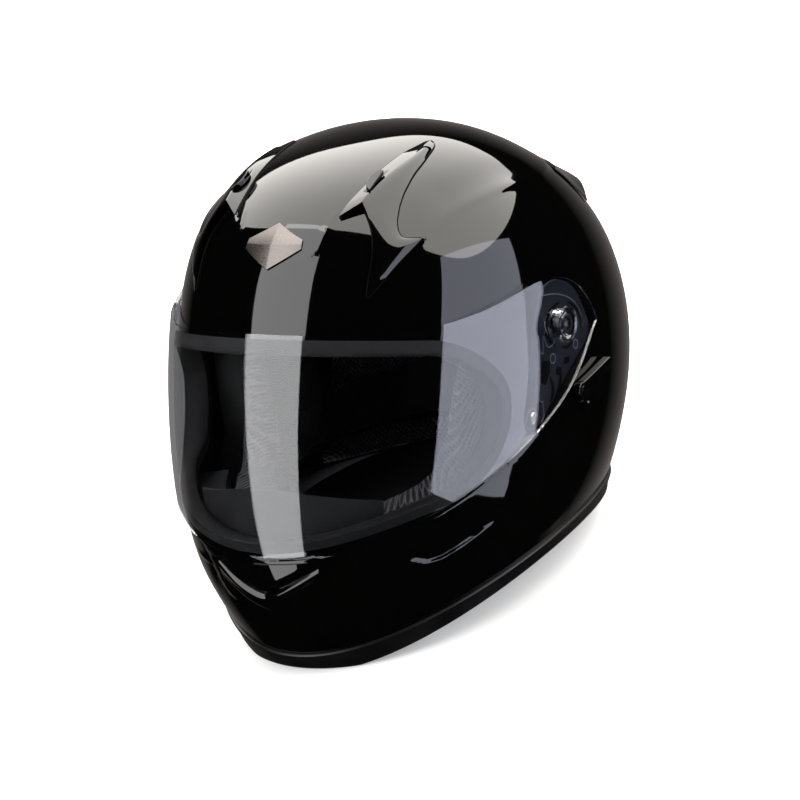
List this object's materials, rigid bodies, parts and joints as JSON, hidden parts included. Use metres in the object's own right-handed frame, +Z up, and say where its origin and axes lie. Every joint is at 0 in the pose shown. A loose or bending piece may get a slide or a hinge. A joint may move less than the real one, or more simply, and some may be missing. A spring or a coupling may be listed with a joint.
{
  "type": "motorcycle helmet",
  "caption": "Full-face motorcycle helmet with a hinged clear visor, sliding crown vents, a tipping chin vent, comfort lining and a buckled chin strap.",
  "frame": {"origin": "on the ground plane under the middle of the helmet's outer extents", "axes": "+Z up, the face looks along -Y, the wearer's left is +X"},
  "size_m": [0.2646, 0.353, 0.2727],
  "materials": {
    "gloss_shell": "high gloss black lacquer",
    "gloss_trim": "high gloss black",
    "edge_rubber": "satin black rubber",
    "gasket_rubber": "matt dark grey rubber",
    "clear_visor": "clear polished polycarbonate",
    "pivot_ring": "satin silver",
    "slate_plastic": "satin slate",
    "steel": "bright zinc",
    "badge_metal": "satin nickel",
    "foam": "black expanded polystyrene",
    "mesh_fabric": "black open mesh over foam",
    "webbing": "black woven webbing",
    "buckle_steel": "stamped steel",
    "red_latch": "red",
    "black_nylon": "moulded nylon"
  },
  "bodies": {
    "helmet": {"outer_shell": "gloss_shell", "bottom_edge_trim": "edge_rubber", "eye_port_gasket": "gasket_rubber", "base_plate_left": "slate_plastic", "base_plate_right": "slate_plastic", "base_screws_left": "steel", "base_screws_right": "steel", "lever_pin_left": "steel", "lever_pin_right": "steel", "lever_stop_left": "steel", "lever_stop_right": "steel", "top_vent_left": "gloss_trim", "top_vent_right": "gloss_trim", "chin_vent_lip": "gloss_trim", "chin_vent_grille": "slate_plastic", "rear_exhaust": "gloss_trim", "forehead_badge": "badge_metal", "eps_main": "foam", "eps_chin": "foam", "crown_pad": "mesh_fabric", "brow_pad": "mesh_fabric", "rear_pad": "mesh_fabric", "cheek_pad_left": "mesh_fabric", "cheek_pad_right": "mesh_fabric", "neck_roll": "mesh_fabric", "breath_deflector": "gasket_rubber", "chin_curtain": "webbing", "strap_anchor_left": "steel", "strap_anchor_right": "steel", "chin_strap_left": "webbing", "chin_strap_right": "webbing", "strap_pad_left": "mesh_fabric", "strap_pad_right": "mesh_fabric", "buckle_body": "buckle_steel", "ratchet_tongue": "black_nylon", "liner_snaps": "black_nylon"},
    "visor": {"visor": "clear_visor", "visor_pivot_left": "pivot_ring", "visor_pivot_right": "pivot_ring"},
    "lever_left": {"release_lever_left": "gloss_trim"},
    "lever_right": {"release_lever_right": "gloss_trim"},
    "slider_left": {"vent_slider_left": "slate_plastic"},
    "slider_right": {"vent_slider_right": "slate_plastic"},
    "chin_shutter": {"chin_vent_shutter": "gloss_trim"},
    "buckle_latch": {"buckle_lever": "red_latch"}
  },
  "joints": [
    {"name": "visor_hinge", "type": "hinge", "parent": "helmet", "child": "visor", "pos_m": [0, -0.0129, 0.1625], "axis": [-1, 0, 0], "range_deg": [0, 55]},
    {"name": "release_lever_left_hinge", "type": "hinge", "parent": "helmet", "child": "lever_left", "pos_m": [0.129, -0.0069, 0.118], "axis": [-1, 0, 0], "range_deg": [0, 20], "stiffness_Nm_per_rad": 0.15, "springref_deg": -5.73},
    {"name": "release_lever_right_hinge", "type": "hinge", "parent": "helmet", "child": "lever_right", "pos_m": [-0.129, -0.0069, 0.118], "axis": [-1, 0, 0], "range_deg": [0, 20], "stiffness_Nm_per_rad": 0.15, "springref_deg": -5.73},
    {"name": "vent_slider_left_slide", "type": "slide", "parent": "helmet", "child": "slider_left", "axis": [0.0113, -0.9552, -0.2959], "range_m": [-0.008, 0]},
    {"name": "vent_slider_right_slide", "type": "slide", "parent": "helmet", "child": "slider_right", "axis": [-0.0113, -0.9552, -0.2959], "range_m": [-0.008, 0]},
    {"name": "chin_shutter_hinge", "type": "hinge", "parent": "helmet", "child": "chin_shutter", "pos_m": [0, -0.1727, 0.05682], "axis": [1, 0, 0], "range_deg": [0, 12]},
    {"name": "buckle_latch_hinge", "type": "hinge", "parent": "helmet", "child": "buckle_latch", "pos_m": [0.038, -0.0239, 0.0144], "axis": [0, 1, 0], "range_deg": [0, 45], "stiffness_Nm_per_rad": 0.05, "springref_deg": -11.46}
  ]
}
